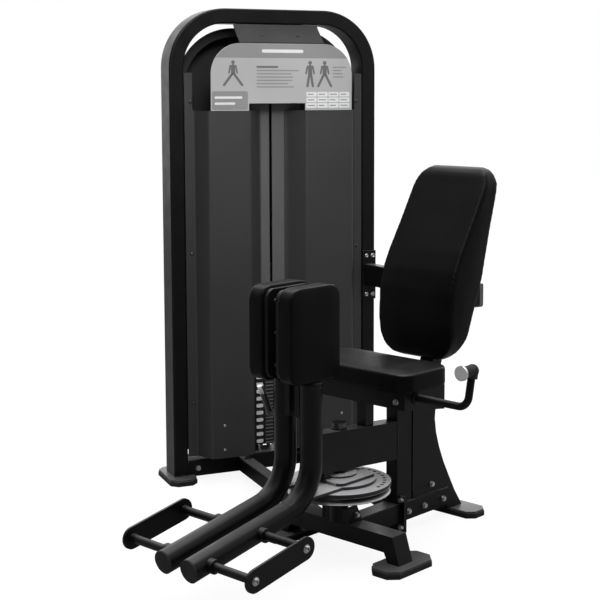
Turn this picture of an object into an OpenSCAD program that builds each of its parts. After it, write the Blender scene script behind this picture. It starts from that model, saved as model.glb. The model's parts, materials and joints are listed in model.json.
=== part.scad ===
// Seated inner thigh machine with a selector weight stack, in millimetres.
// +Z is up, the user faces -Y and the user's left is +X. The origin is on the
// floor under the seat frame's rear foot. The weight tower stands at the user's right.

/* [Tower] */
// Height of the tower frame
tower_h = 1620; // [1560:10:1700]
// Distance between the centres of the two tower legs
leg_span = 706; // [680:2:740]
// Width of the tower tube across the tower
leg_w = 50; // [46:1:56]
// Depth of the tower tube
leg_d = 100; // [90:2:110]
// Outer radius of the frame's top corners
corner_r = 200; // [160:10:240]
// Turn of the tower against the user's axis, in degrees
tower_yaw = -23.6; // [-30:0.2:-15]

/* [Weight stack] */
// Number of plates that rest below the selector pin
resting_count = 15; // [10:1:15]
// Number of plates above the selector pin
lifted_count = 5; // [3:1:5]
// Pitch of the plates
plate_pitch = 25.4; // [25.2:0.1:25.6]
// Width of a plate
plate_w = 300; // [260:5:320]
// Distance between the two guide rods
rod_span = 150; // [140:5:170]

/* [Arms] */
// Distance of the pivot axis in front of the origin
pivot_y = 549; // [545:1:552]
// Distance of an arm tube's centre from the middle plane
arm_x = 50; // [48:1:52]
// Outer diameter of the arm tubes
arm_od = 63.5; // [60:0.5:64]
// Distance of the upright arm tubes in front of the origin
arm_y = 718; // [715:1:722]
// Slope of the lower arm tubes, in degrees
arm_slope = 11; // [9:0.5:12]

/* [Seat] */
// Height of the top of the seat
seat_top = 560; // [555:1:570]
// Width of the seat pad
seat_w = 440; // [420:5:450]
// Depth of the seat pad
seat_d = 230; // [225:1:235]
// Width of the backrest
back_w = 290; // [270:5:310]

/* [Hidden] */
$fn = 64;

steel = [0.16, 0.16, 0.17];
zinc = [0.75, 0.75, 0.76];
charcoal = [0.22, 0.22, 0.23];
light_grey = [0.62, 0.62, 0.63];
vinyl = [0.07, 0.07, 0.08];
rubber = [0.05, 0.05, 0.05];

wall = 3;
gap = 0.05;                       // running clearance, on the radius

// Tower, in its own frame: x towards the seat, y across, z up
tower_x = -772;
tower_y = -54;
half_span = leg_span / 2;
inner_half = half_span - leg_w / 2;
rail_top = 80;
rail_bottom = 22;
cover_bottom = 95;
shroud_top = 1278;                // top of the bulged part
flange_top = 1404;
shroud_face = 115;                // front of the bulge
placard_top = 1502;
sheet = 3;

// Stack
stack_u = -10;
bumper_h = 103 - rail_top;
stack_bottom = rail_top + bumper_h;
plate_t = plate_pitch - 0.4;
plate_front = 28;
plate_back = -48;
lifted_bottom = stack_bottom + resting_count * plate_pitch;
top_plate_bottom = lifted_bottom + lifted_count * plate_pitch;
top_plate_t = 40;
stem_top = top_plate_bottom + top_plate_t + 90;
rod_r = 9.5;
rod_hole_r = rod_r + 0.5;
stem_r = 12;
stem_hole_r = 14;
rod_top = 1560;

// Cable and pulleys
cable_r = 2.5;
top_pulley_r = 45;                // to the middle of the cable
top_pulley_z = 1450;
top_pulley_u = stack_u - top_pulley_r;
rear_run_u = stack_u - 2 * top_pulley_r;
low_pulley_r = 22;
low_pulley_u = rear_run_u + low_pulley_r;
low_run_z = 84.5;
low_pulley_z = low_run_z + low_pulley_r;
axle_r = 6;

// Base
foot_t = 8;
foot_top = 30;
foot_bottom = 8;                  // everything is lowered by this, so the feet stand on z = 0
cross_y = -535;
cross_top = 108;
cross_bottom = 58;
base_rail_w = 56;
base_rail_top = 103;
base_rail_bottom = 44;
rail_end = -66;
junction_y = -296;                // bolted joint between the two base rails
post_front = -315;
post_back = -240;
post_top = 444;

// Pivot
beam_w = 50;
beam_h = 115;
beam_front = -655;
beam_front_top = 386;
beam_slope = 4.7;
beam_rise = (post_front - beam_front) * tan(beam_slope);
shaft_r = 15;
housing_r = 24.5;
cam_z = 196;
cam_t = 20;
cam_r = 145;                      // to the middle of the cable
groove_z = cam_z + cam_t / 2;
range_z = 218;
pin_ring_r = 132;                 // ring of holes in the range disc
left_hub_z = 229;
right_hub_z = 238;
hub_t = 8;
hub_r = 108;
pin_angle = 80;                   // from the back towards the user's right

// Arms
tube_r = arm_od / 2;
bend_r = 130;
arm_top = 535;
cap_z = 136;                      // height of the lower end's centre
cap_y = -1167;
corner_z = cap_z + (-arm_y - cap_y) * tan(arm_slope);
bend_angle = 90 - arm_slope;
bend_len = bend_r * tan(bend_angle / 2);
peg_y = [-1120, -938];
peg_end_r = 31;
peg_r = 12;
peg_out = 184;                    // from the arm tube's centre to the end plate
pad_t = 56;
pad_d = 203;
pad_bottom = 553;
pad_top = 824;
pad_inner = 28.3;                 // from the middle plane to the pad's back

// Seat and backrest
seat_t = 60;
seat_front = -518;
frame_front = -495;
frame_back = -312;
frame_w = 400;
upright_tilt = 22;
upright_y = -160;
upright_z = 428;
upright_len = 440;
board_t = 6.4;
// Front face of the backrest, from the bottom to the top, as [y, z]
back_front = [[-185, 526], [-208, 540], [-214, 562], [-219, 650], [-215, 742], [-192, 805],
              [-160, 862], [-92, 966], [-34, 1060], [-15, 1093], [6, 1113], [28, 1118]];
handle_r = 11;
handle_tilt = 78;
handle_bend = 30;
handle_out = 382;
handle_rise = 103;                // along the tilted part, to the grip's elbow
grip_r = 17;

// Brace from the tower's right leg to the backrest upright
brace_start = [-577, 246];
brace_end = [2, 112.6];
brace_z = 690;
brace_h = 76;
brace_w = 40;

// ---------- helpers ----------

module tower_place() {
  translate([tower_x, tower_y, 0]) rotate([0, 0, tower_yaw]) children();
}

// Lowers a part so that the feet stand on z = 0
module on_floor() translate([0, 0, -foot_bottom]) children();

module both_sides() {
  children();
  mirror([1, 0, 0]) children();
}

module rounded_rect(w, h, r) {
  square([w - 2 * r, h], center = true);
  square([w, h - 2 * r], center = true);
  for (sx = [-1, 1], sy = [-1, 1])
    translate([sx * (w / 2 - r), sy * (h / 2 - r)]) circle(r);
}

module tube_section(w, h, r, t = wall) {
  difference() {
    rounded_rect(w, h, r);
    rounded_rect(w - 2 * t, h - 2 * t, max(r - t, 1));
  }
}

module box(x, y, z) {
  translate([x[0], y[0], z[0]]) cube([x[1] - x[0], y[1] - y[0], z[1] - z[0]]);
}

// Plate outline with chamfered corners
module chamfered(w, h, c) {
  polygon([[-w / 2 + c, -h / 2], [w / 2 - c, -h / 2], [w / 2, -h / 2 + c], [w / 2, h / 2 - c],
           [w / 2 - c, h / 2], [-w / 2 + c, h / 2], [-w / 2, h / 2 - c], [-w / 2, -h / 2 + c]]);
}

module along_x(x0, x1, y, z, r) {
  translate([x0, y, z]) rotate([0, 90, 0]) cylinder(r = r, h = x1 - x0);
}

module along_y(y0, y1, x, z, r) {
  translate([x, y0, z]) rotate([-90, 0, 0]) cylinder(r = r, h = y1 - y0);
}

module upright_rod(x, y, z0, z1, r) {
  translate([x, y, z0]) cylinder(r = r, h = z1 - z0);
}

// Straight round bar between two points
module bar(a, b, r) {
  d = b - a;
  len = norm(d);
  translate(a) rotate([0, acos(d[2] / len), atan2(d[1], d[0])]) cylinder(r = r, h = len);
}

// Grooved wheel about the z axis, centred on z = 0
module grooved_wheel(cable_radius, rim_r, t, bore_r) {
  difference() {
    translate([0, 0, -t / 2]) cylinder(r = rim_r, h = t);
    translate([0, 0, -t]) cylinder(r = bore_r, h = 2 * t);
    rotate_extrude()
      polygon([[cable_radius - cable_r - 1, -cable_r - 1], [cable_radius - cable_r - 1, cable_r + 1],
               [rim_r + 1, t / 2 - 1], [rim_r + 1, -t / 2 + 1]]);
  }
}

// ---------- tower ----------

module tower_arch(w, d, section_r) {
  arc_z = tower_h - corner_r;
  for (side = [0, 1]) mirror([0, side, 0]) {
    translate([0, half_span, foot_top]) linear_extrude(arc_z - foot_top) rounded_rect(d, w, section_r);
    translate([0, half_span + leg_w / 2 - corner_r, arc_z]) rotate([90, 0, 90])
      rotate_extrude(angle = 90) translate([corner_r - leg_w / 2, 0]) rounded_rect(w, d, section_r);
  }
  translate([0, -(half_span + leg_w / 2 - corner_r), tower_h - leg_w / 2]) rotate([-90, 0, 0])
    linear_extrude(2 * (half_span + leg_w / 2 - corner_r)) rounded_rect(d, w, section_r);
}

module tower_frame() color(steel) on_floor() tower_place() {
  difference() {
    tower_arch(leg_w, leg_d, 6);
    tower_arch(leg_w - 2 * wall, leg_d - 2 * wall, 3);
  }
  // Head block that holds the guide rods
  difference() {
    box([-42, 24], [-110, 110], [1545, tower_h - leg_w + 1]);
    for (s = [-1, 1]) upright_rod(stack_u, s * rod_span / 2, 1500, rod_top, rod_r);
  }
  // Tabs that the shrouds and the rear cover are screwed to
  for (side = [0, 1], z = [208, 795, 1308], u = [41, -44]) mirror([0, side, 0])
    translate([u, 292, z - 20]) cube([3, inner_half - 291, 40]);
}

module tower_bottom_rail() color(steel) on_floor() tower_place() {
  difference() {
    translate([0, 0, (rail_top + rail_bottom) / 2]) rotate([90, 0, 0])
      translate([0, 0, -inner_half]) linear_extrude(2 * inner_half)
        tube_section(90, rail_top - rail_bottom, 5);
    for (s = [-1, 1]) translate([-60, s * half_span - 47, 0]) cube([120, 94, foot_top]);
  }
  low_pulley_lugs();
}

// Lugs and axle of the low pulley, welded to the rail's back
module low_pulley_lugs() {
  for (v = [-17, 11]) {
    box([low_pulley_u - 12, low_pulley_u + 12], [v, v + 6], [30, low_pulley_z + 14]);
    box([low_pulley_u, -44], [v, v + 6], [30, 70]);
  }
  translate([low_pulley_u, 17, low_pulley_z]) rotate([90, 0, 0]) cylinder(r = axle_r, h = 34);
}

// Cross-section of a front shroud: flange, slope, bulged face, slope, return
// with its inner edge set back by the given amount
function shroud_points(back) = [[47, 326], [47, 298], [52, 290], [106, 266], [114, 256],
  [118, 180], [115, 94 + back], [108, 84 + back], [60, 46 + back], [52, 36 + back], [52, 30 + back]];

module shroud_section(back) {
  outer = shroud_points(back);
  inner = [for (i = [len(outer) - 1:-1:0]) outer[i] - [sheet, 0]];
  polygon(concat(outer, inner));
}

module shroud(back) {
  translate([0, 0, cover_bottom]) linear_extrude(shroud_top - cover_bottom) shroud_section(back);
  box([47 - sheet, 47], [298, 326], [shroud_top, flange_top]);
}

// The left shroud leaves the stack's labels open to view, more so lower down
module left_shroud() color(charcoal) on_floor() tower_place() mirror([0, 1, 0]) difference() {
  shroud(27);
  box([40, 130], [0, 101], [cover_bottom - 1, 640]);
}

module right_shroud() color(charcoal) on_floor() tower_place() shroud(0);

// Outline of the rear cover, drawn across the tower, with rounded top corners
module cover_outline(inset) {
  half = inner_half - 2 - inset;
  top = 1558 - inset;
  r = 205 - inset;
  translate([-half, cover_bottom + inset]) square([2 * half, top - r - cover_bottom - inset]);
  translate([-half + r, cover_bottom + inset]) square([2 * (half - r), top - cover_bottom - inset]);
  for (s = [-1, 1]) translate([s * (half - r), top - r]) circle(r);
}

module rear_cover() color(charcoal) on_floor() tower_place() difference() {
  union() {
    translate([-47, 0, 0]) rotate([90, 0, 90]) linear_extrude(sheet) cover_outline(0);
    translate([-121, 0, 0]) rotate([90, 0, 90]) linear_extrude(77) cover_outline(28);
  }
  translate([-121 + sheet, 0, 0]) rotate([90, 0, 90]) linear_extrude(90) cover_outline(28 + sheet);
  box([-121 + sheet, -40], [-plate_w / 2 - 10, plate_w / 2 + 10], [cover_bottom - 1, cover_bottom + 45]);
}

module top_bridge_plate() color(charcoal) on_floor() tower_place() rotate([90, 0, 0])
  translate([0, 0, -153]) linear_extrude(306)
    polygon([[50, 1568], [54, 1568], [60, 1556], [113, 1506], [113, 1486], [110, 1486], [110, 1505],
             [57, 1554], [50, 1564]]);

module placard() color(light_grey) on_floor() tower_place() translate([113, 0, 0]) rotate([90, 0, 90])
  linear_extrude(4) difference() {
    union() {
      translate([-256, shroud_top]) square([512, placard_top - 105 - shroud_top]);
      translate([-151, shroud_top]) square([302, placard_top - shroud_top]);
      for (s = [-1, 1]) translate([s * 151, placard_top - 105]) circle(105);
    }
    translate([-122, shroud_top]) square([204, 24]);
  }

module slot_guards() color(light_grey) on_floor() tower_place() {
  box([47, 49], [-91, -25], [712, 1320]);
  box([47, 49], [-15, 91], [712, 1320]);
}

module guide_rods() color(zinc) on_floor() tower_place() for (s = [-1, 1])
  upright_rod(stack_u, s * rod_span / 2, rail_top, rod_top, rod_r);

module stack_bumpers() color(rubber) on_floor() tower_place() for (s = [-1, 1]) difference() {
  upright_rod(stack_u, s * rod_span / 2, rail_top, stack_bottom, 25);
  upright_rod(stack_u, s * rod_span / 2, 0, stack_bottom + 1, rod_r);
}

module weight_plate(z, t) difference() {
  box([plate_back, plate_front], [-plate_w / 2, plate_w / 2], [z, z + t]);
  for (s = [-1, 1]) upright_rod(stack_u, s * rod_span / 2, z - 1, z + t + 1, rod_hole_r);
  upright_rod(stack_u, 0, z - 1, z + t + 1, stem_hole_r);
  along_x(stack_u, plate_front + 1, 0, z + t / 2, 5.5);
}

module resting_plates() color(steel) on_floor() tower_place() for (i = [0:resting_count - 1])
  weight_plate(stack_bottom + i * plate_pitch, plate_t);

module lifted_plates() color(steel) on_floor() tower_place() for (i = [0:lifted_count - 1])
  weight_plate(lifted_bottom + i * plate_pitch, plate_t);

module top_plate() color(steel) on_floor() tower_place() difference() {
  union() {
    box([plate_back, plate_front], [-plate_w / 2, plate_w / 2],
        [top_plate_bottom, top_plate_bottom + top_plate_t]);
    for (s = [-1, 1])
      upright_rod(stack_u, s * rod_span / 2, top_plate_bottom, top_plate_bottom + top_plate_t + 45, 16);
  }
  for (s = [-1, 1])
    upright_rod(stack_u, s * rod_span / 2, top_plate_bottom - 1, top_plate_bottom + 100, rod_r + gap);
  upright_rod(stack_u, 0, top_plate_bottom - 1, top_plate_bottom + 60, stem_r);
}

module selector_stem() color(zinc) on_floor() tower_place() difference() {
  union() {
    upright_rod(stack_u, 0, stack_bottom + 4, stem_top, stem_r);
    upright_rod(stack_u, 0, top_plate_bottom + top_plate_t, top_plate_bottom + top_plate_t + 16, 20);
    upright_rod(stack_u, 0, stem_top - 34, stem_top, 17);
  }
  along_x(stack_u - 20, stack_u + 20, 0, lifted_bottom + plate_t / 2, 5.5);
}

module selector_pin() color(rubber) on_floor() tower_place() {
  along_x(stack_u - stem_r, plate_front + 18, 0, lifted_bottom + plate_t / 2, 5);
  along_x(plate_front + 18, plate_front + 58, 0, lifted_bottom + plate_t / 2, 13);
}

module top_pulley() color(rubber) on_floor() tower_place()
  translate([top_pulley_u, 0, top_pulley_z]) rotate([90, 0, 0])
    grooved_wheel(top_pulley_r, 52, 18, axle_r + gap);

module top_pulley_bracket() color(steel) on_floor() tower_place() {
  for (v = [-18, 12]) {
    box([top_pulley_u - 18, -14], [v, v + 6], [top_pulley_z - 18, 1518]);
    box([-43, -14], [v, v + 6], [1510, 1545]);
  }
  box([-43, -14], [-40, 40], [1539, 1545]);
  translate([top_pulley_u, 18, top_pulley_z]) rotate([90, 0, 0]) cylinder(r = axle_r, h = 36);
}

module bottom_pulley() color(rubber) on_floor() tower_place()
  translate([low_pulley_u, 0, low_pulley_z]) rotate([90, 0, 0])
    grooved_wheel(low_pulley_r, 27, 16, axle_r + gap);

module stack_cable() color(rubber) on_floor() tower_place()
  upright_rod(stack_u, 0, stem_top, top_pulley_z, cable_r);

// Where the cable meets the cam, in the tower's frame
pivot_u = (0 - tower_x) * cos(tower_yaw) + (-pivot_y - tower_y) * sin(tower_yaw);
pivot_v = -(0 - tower_x) * sin(tower_yaw) + (-pivot_y - tower_y) * cos(tower_yaw);
low_run = [pivot_u - low_pulley_u, groove_z - low_pulley_z];
low_run_slope = atan2(low_run[1], low_run[0]) + asin(low_pulley_r / norm(low_run));
low_run_start = [low_pulley_u + low_pulley_r * sin(low_run_slope), 0,
                 low_pulley_z - low_pulley_r * cos(low_run_slope)];
low_run_end = [pivot_u, pivot_v + cam_r, groove_z];

module cable_arc(r, a0, a1) rotate([0, 0, a0]) rotate_extrude(angle = a1 - a0)
  translate([r, 0]) circle(cable_r);

// The cable's parts meet end to end, with hairline gaps between the solids
hair = 0.05;

module rear_cable() color(rubber) on_floor() tower_place() {
  translate([top_pulley_u, 0, top_pulley_z]) rotate([90, 0, 0]) cable_arc(top_pulley_r, 0.1, 179.9);
  upright_rod(rear_run_u, 0, low_pulley_z + hair, top_pulley_z - hair, cable_r);
  translate([low_pulley_u, 0, low_pulley_z]) rotate([90, 0, 0])
    cable_arc(low_pulley_r, 180.2, 269.8 + low_run_slope);
  bar(low_run_start, low_run_end, cable_r);
  translate([pivot_u, pivot_v, groove_z]) cable_arc(cam_r, -20, 88.5);
}

// ---------- base ----------

module foot_shapes(grow) {
  tower_place() for (s = [-1, 1]) translate([4, s * half_span]) chamfered(186 + grow, 92 + grow, 22);
  both_sides() translate([217, -524]) chamfered(100 + grow, 190 + grow, 26);
  translate([0, -8]) chamfered(214 + grow, 86 + grow, 22);
}

module foot_plates() color(light_grey) on_floor() translate([0, 0, foot_top - foot_t])
  linear_extrude(foot_t) foot_shapes(0);

module rubber_feet() color(rubber) on_floor() translate([0, 0, foot_bottom])
  linear_extrude(foot_top - foot_t - foot_bottom) foot_shapes(4);

link_v = 130;
link_end_u = 815;

module link_beams() color(steel) on_floor() for (s = [-1, 1]) difference() {
  tower_place() translate([45, s * link_v, 55]) rotate([90, 0, 90])
    linear_extrude(link_end_u) tube_section(44, 48, 4);
  box([-base_rail_w / 2, 400], [-900, 200], [0, 200]);
  box([-400, 400], [cross_y - 30, cross_y + 30], [0, 200]);
  box([-400, 400], [-900, cross_y], [0, 200]);
}

// Cross beam with splayed legs, seen from the front
module cross_outline(t) {
  polygon([[-215 + t, cross_top - t], [215 - t, cross_top - t], [240 - t, foot_top], [198 + t, foot_top],
           [184 + t, cross_bottom + t], [-184 - t, cross_bottom + t], [-198 - t, foot_top],
           [-240 + t, foot_top]]);
}

// The beam carries the shaft's lower bearing between two gussets
module cross_beam() color(steel) on_floor() difference() {
  union() {
    difference() {
      translate([0, cross_y + 30, 0]) rotate([90, 0, 0]) linear_extrude(60) cross_outline(0);
      translate([0, cross_y + 30 - wall, 0]) rotate([90, 0, 0]) linear_extrude(60 - 2 * wall) cross_outline(wall);
    }
    upright_rod(0, -pivot_y, cross_top - 1, 188, 27);
    for (x = [-52, 46]) translate([x, 0, 0]) rotate([90, 0, 90]) linear_extrude(6)
      polygon([[cross_y - 30, cross_top - 1], [cross_y + 30, cross_top - 1], [cross_y + 6, 158], [cross_y - 30, 158]]);
    box([-52, 52], [cross_y - 28, cross_y - 22], [cross_top - 1, 150]);
  }
  upright_rod(0, -pivot_y, cross_top - 10, 200, shaft_r + gap);
}

module base_rail(y0, y1) {
  translate([0, y1, (base_rail_top + base_rail_bottom) / 2]) rotate([90, 0, 0]) linear_extrude(y1 - y0)
    tube_section(base_rail_w, base_rail_top - base_rail_bottom, 4);
}

module joint_flange(y0) box([-41, 41], [y0, y0 + 6], [14, 126]);

module centre_rail() color(steel) on_floor() {
  base_rail(cross_y + 30, junction_y - 6);
  joint_flange(junction_y - 6);
}

module rear_rail() color(steel) on_floor() {
  joint_flange(junction_y);
  base_rail(junction_y + 6, rail_end);
}

module seat_post() color(steel) on_floor() translate([0, (post_front + post_back) / 2, 0]) difference() {
  translate([0, 0, base_rail_top]) linear_extrude(post_top - base_rail_top)
    tube_section(44, post_back - post_front, 5);
  box([-42, 42], [junction_y - 8 - (post_front + post_back) / 2, junction_y + 8 - (post_front + post_back) / 2],
      [0, 128]);
}

// Side view of the flared column behind the post: a concave rear edge, as [y, z]
column_edge = [[-123, 425], [-133, 335], [-126, 290], [-110, 240], [-88, 190], [-60, 138],
               [-30, 85], [8, foot_top]];

module column_side(t) polygon(concat(
  [[post_back + t, base_rail_top + t], [post_back + t, 425 - t]],
  [for (p = column_edge) [p[0] - 1.2 * t, min(p[1], 425 - t)]],
  [[rail_end + t, foot_top], [rail_end + t, base_rail_top + t]]));

module rear_column() color(steel) on_floor() difference() {
  translate([-24, 0, 0]) rotate([90, 0, 90]) linear_extrude(48) column_side(0);
  translate([-24 + wall, 0, 0]) rotate([90, 0, 90]) linear_extrude(48 - 2 * wall) column_side(wall);
}

function beam_top(y) = beam_front_top - (y - beam_front) * tan(beam_slope);

module beam_side(t) polygon([
  [beam_front + t, beam_front_top - t], [post_front - t, beam_front_top - beam_rise - t],
  [post_front - t, beam_front_top - beam_rise - beam_h + t], [beam_front + t, beam_front_top - beam_h + t]]);

module pivot_beam() color(steel) on_floor() difference() {
  union() {
    difference() {
      translate([-beam_w / 2, 0, 0]) rotate([90, 0, 90]) linear_extrude(beam_w) beam_side(0);
      translate([-beam_w / 2 + wall, 0, 0]) rotate([90, 0, 90]) linear_extrude(beam_w - 2 * wall) beam_side(wall);
      along_y(post_front - 10, post_front + 5, 0, 300, 14);
      upright_rod(0, beam_front + 30, 230, 300, 4);
    }
    upright_rod(0, -pivot_y, 253, 384, housing_r);
    // Stop block under the beam, over the right arm's hub
    box([-17, 17], [-630, -606], [247.5, 272]);
    box([-25, 25], [-636, -602], [260, 275]);
  }
  upright_rod(0, -pivot_y, 200, 500, shaft_r + gap);
}

module pivot_shaft() color(zinc) on_floor() {
  upright_rod(0, -pivot_y, cross_top - 10, 388, shaft_r);
  upright_rod(0, -pivot_y, 384.5, 398, 21);
}

module seat_support_post() color(steel) on_floor() difference() {
  box([-17, 17], [-452, -418], [beam_top(-452) - 10, 494]);
  translate([-50, 0, 0]) rotate([90, 0, 90]) linear_extrude(100) beam_side(0);
}

// ---------- pivot and arms ----------

module cam_wheel() color(zinc) on_floor() translate([0, -pivot_y, 0]) {
  translate([0, 0, groove_z]) grooved_wheel(cam_r, cam_r + 5, cam_t, shaft_r + gap);
  difference() {
    upright_rod(0, 0, cam_z + cam_t, range_z, 40);
    upright_rod(0, 0, cam_z, range_z + 1, shaft_r + gap);
  }
}

module range_disc() color(zinc) on_floor() translate([0, -pivot_y, 0]) difference() {
  upright_rod(0, 0, range_z, range_z + 10, 151);
  upright_rod(0, 0, range_z - 1, range_z + 11, shaft_r + gap);
  for (a = [-80:10:80]) rotate([0, 0, a]) upright_rod(0, pin_ring_r, range_z - 1, range_z + 11, 5.5);
}

module retaining_washer() color(zinc) on_floor() translate([0, -pivot_y, 0]) difference() {
  upright_rod(0, 0, right_hub_z + hub_t, right_hub_z + hub_t + 6, 52);
  upright_rod(0, 0, 0, 300, shaft_r);
}

lower_len = (-arm_y - cap_y) / cos(arm_slope);

// One arm's path: the upright, the bend and the lower part, swept with a 2D profile
module arm_path() {
  translate([arm_x, -arm_y, corner_z + bend_len]) linear_extrude(arm_top - corner_z - bend_len) children();
  translate([arm_x, -arm_y - bend_r, corner_z + bend_len]) rotate([0, 90, 0]) rotate([0, 0, 90])
    rotate_extrude(angle = -bend_angle) translate([bend_r, 0]) children();
  translate([arm_x, -arm_y, corner_z]) rotate([90 + arm_slope, 0, 0])
    translate([0, 0, bend_len]) linear_extrude(lower_len - bend_len) children();
}

module arm_solid() arm_path() circle(tube_r);

module arm_tube() arm_path() difference() {
  circle(tube_r);
  circle(tube_r - wall);
}

module tube_cap() translate([arm_x, -arm_y, corner_z]) rotate([90 + arm_slope, 0, 0]) {
  translate([0, 0, lower_len]) cylinder(r = tube_r, h = 4);
  translate([0, 0, lower_len - 14]) cylinder(r = tube_r - wall, h = 15);
}

module left_arm_tube() color(steel) on_floor() arm_tube();

module right_arm_tube() color(steel) on_floor() mirror([1, 0, 0]) arm_tube();

module left_tube_cap() color(rubber) on_floor() tube_cap();

module right_tube_cap() color(rubber) on_floor() mirror([1, 0, 0]) tube_cap();

module hub_lever(z) difference() {
  box([arm_x - 30, arm_x + 30], [-arm_y - 80, -pivot_y - 40], [z, z + hub_t]);
  arm_solid();
  box([arm_x - 60, arm_x + 60], [-arm_y - 200, -arm_y - 25], [z - 40, z + 40]);
}

module left_arm_hub() color(zinc) on_floor() difference() {
  union() {
    translate([0, -pivot_y, 0]) upright_rod(0, 0, left_hub_z, left_hub_z + hub_t, hub_r);
    hub_lever(left_hub_z);
  }
  upright_rod(0, -pivot_y, 0, 300, shaft_r + gap);
}

module right_arm_hub() color(zinc) on_floor() difference() {
  union() {
    translate([0, -pivot_y, right_hub_z]) linear_extrude(hub_t) rounded_rect(156, 156, 20);
    mirror([1, 0, 0]) hub_lever(right_hub_z);
    translate([0, -pivot_y, 0]) rotate([0, 0, pin_angle])
      box([-17, 17], [60, 148], [right_hub_z, right_hub_z + hub_t]);
  }
  upright_rod(0, -pivot_y, 0, 300, shaft_r + gap);
  upright_rod(pin_at[0], pin_at[1], 0, 300, 5 + gap);
}

module foot_pegs() for (y = peg_y) {
  z = cap_z + (y - cap_y) * tan(arm_slope);
  difference() {
    union() {
      along_x(arm_x, arm_x + peg_out, y, z, peg_r);
      along_x(arm_x, arm_x + tube_r + 14, y, z, peg_r + 7);
    }
    arm_solid();
  }
}

module left_foot_pegs() color(steel) on_floor() foot_pegs();

module right_foot_pegs() color(steel) on_floor() mirror([1, 0, 0]) foot_pegs();

module peg_plate() {
  y = (peg_y[0] + peg_y[1]) / 2;
  z = cap_z + (y - cap_y) * tan(arm_slope);
  len = (peg_y[1] - peg_y[0]) / cos(arm_slope);
  translate([arm_x + peg_out, y, z]) rotate([arm_slope, 0, 0]) rotate([90, 0, 90]) linear_extrude(7) {
    square([len, 2 * peg_end_r], center = true);
    for (s = [-1, 1]) translate([s * len / 2, 0]) circle(peg_end_r);
  }
}

module left_peg_plate() color(steel) on_floor() peg_plate();

module right_peg_plate() color(steel) on_floor() mirror([1, 0, 0]) peg_plate();

pad_y = -arm_y - 12.5;

module pad_outline(inset, r) rounded_rect(pad_top - pad_bottom - 2 * inset, pad_d - 2 * inset, r);

// Back shell of a thigh pad, with the bar that is welded to the arm tube
module pad_bracket() difference() {
  union() {
    translate([pad_inner - 12.5, pad_y, (pad_top + pad_bottom) / 2]) rotate([0, 90, 0])
      linear_extrude(12) pad_outline(12, 28);
    box([arm_x - tube_r - 8, pad_inner - 0.5], [-arm_y - 25, -arm_y + 25], [450, 600]);
  }
  arm_solid();
}

module left_pad_bracket() color(steel) on_floor() pad_bracket();

module right_pad_bracket() color(steel) on_floor() mirror([1, 0, 0]) pad_bracket();

module thigh_pad() translate([pad_inner, pad_y, (pad_top + pad_bottom) / 2]) rotate([0, 90, 0])
  linear_extrude(pad_t) pad_outline(0, 35);

module left_thigh_pad() color(vinyl) on_floor() thigh_pad();

module right_thigh_pad() color(vinyl) on_floor() mirror([1, 0, 0]) thigh_pad();

// The pin is drawn up, clear of the range disc; it drops by 13 mm into a hole
pin_at = [-pin_ring_r * sin(pin_angle), -pivot_y + pin_ring_r * cos(pin_angle)];

module start_pin() color(zinc) on_floor() {
  upright_rod(pin_at[0], pin_at[1], range_z + 12, right_hub_z + hub_t + 24, 5);
  upright_rod(pin_at[0], pin_at[1], right_hub_z + hub_t + 21, right_hub_z + hub_t + 34, 9);
}

// Rod lever on the outer side of the right arm's tube
lever_pivot = [-112, -arm_y, 441];

module release_lever() color(steel) on_floor() {
  along_x(-112, -arm_x - tube_r - 0.6, lever_pivot[1], lever_pivot[2], 8);
  translate(lever_pivot) sphere(12);
  bar(lever_pivot, [-112, -752, 514], 9);
}

// ---------- seat ----------

module seat_frame() color(steel) on_floor() {
  difference() {
    translate([-frame_w / 2, 0, 0]) rotate([90, 0, 90]) linear_extrude(frame_w)
      polygon([[frame_front, 500], [frame_front, 452], [frame_back, 427], [frame_back, 500]]);
    translate([-frame_w / 2 + wall, 0, 0]) rotate([90, 0, 90]) linear_extrude(frame_w - 2 * wall)
      polygon([[frame_front + wall, 497], [frame_front + wall, 400], [frame_back - wall, 400],
               [frame_back - wall, 497]]);
    box([-23, 23], [post_front - 1, post_back + 1], [400, post_top]);
  }
  box([-60, 60], [frame_back - 1, post_back + 4], [post_top, post_top + 12]);
  difference() {
    box([-20, 20], [-455, -415], [447, 497.5]);
    box([-17, 17], [-452, -418], [440, 494]);
  }
}

module seat_pad() color(vinyl) on_floor() translate([0, seat_front + seat_d / 2, seat_top - seat_t])
  linear_extrude(seat_t) rounded_rect(seat_w, seat_d, 45);

module upright_place() translate([0, upright_y, upright_z]) rotate([-upright_tilt, 0, 0]) children();

module backrest_upright() color(steel) on_floor() difference() {
  union() {
    upright_place() linear_extrude(upright_len) tube_section(50, 50, 5);
    box([-24, 24], [-165, -85], [425, 431]);
  }
  box([-100, 100], [-300, 100], [0, 425]);
}

function board_y(z) = upright_y + (z - upright_z) * tan(upright_tilt) - (25 + board_t) / cos(upright_tilt);

back_rear = [[42, 1109], [46, 1092], [33, 1043], [-6, 925], [board_y(779), 779], [board_y(560), 560],
             [-146, 536], [-156, 526]];

// Front outline of the backrest, with larger corners at the bottom
module back_outline() hull() {
  for (s = [-1, 1]) {
    translate([s * (back_w / 2 - 56), 1118 - 56]) circle(56);
    translate([s * (back_w / 2 - 95), 526 + 95]) circle(95);
  }
}

module backrest_pad() color(vinyl) on_floor() intersection() {
  translate([-back_w / 2, 0, 0]) rotate([90, 0, 90])
    linear_extrude(back_w) polygon(concat(back_front, back_rear));
  translate([0, 200, 0]) rotate([90, 0, 0]) linear_extrude(600) back_outline();
}

module backrest_board() color(steel) on_floor() upright_place() box([-90, 90], [-25 - board_t, -25], [170, 372]);

brace_d = brace_end - brace_start;
brace_len = norm(brace_d);
brace_yaw = atan2(brace_d[1], brace_d[0]);

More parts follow.
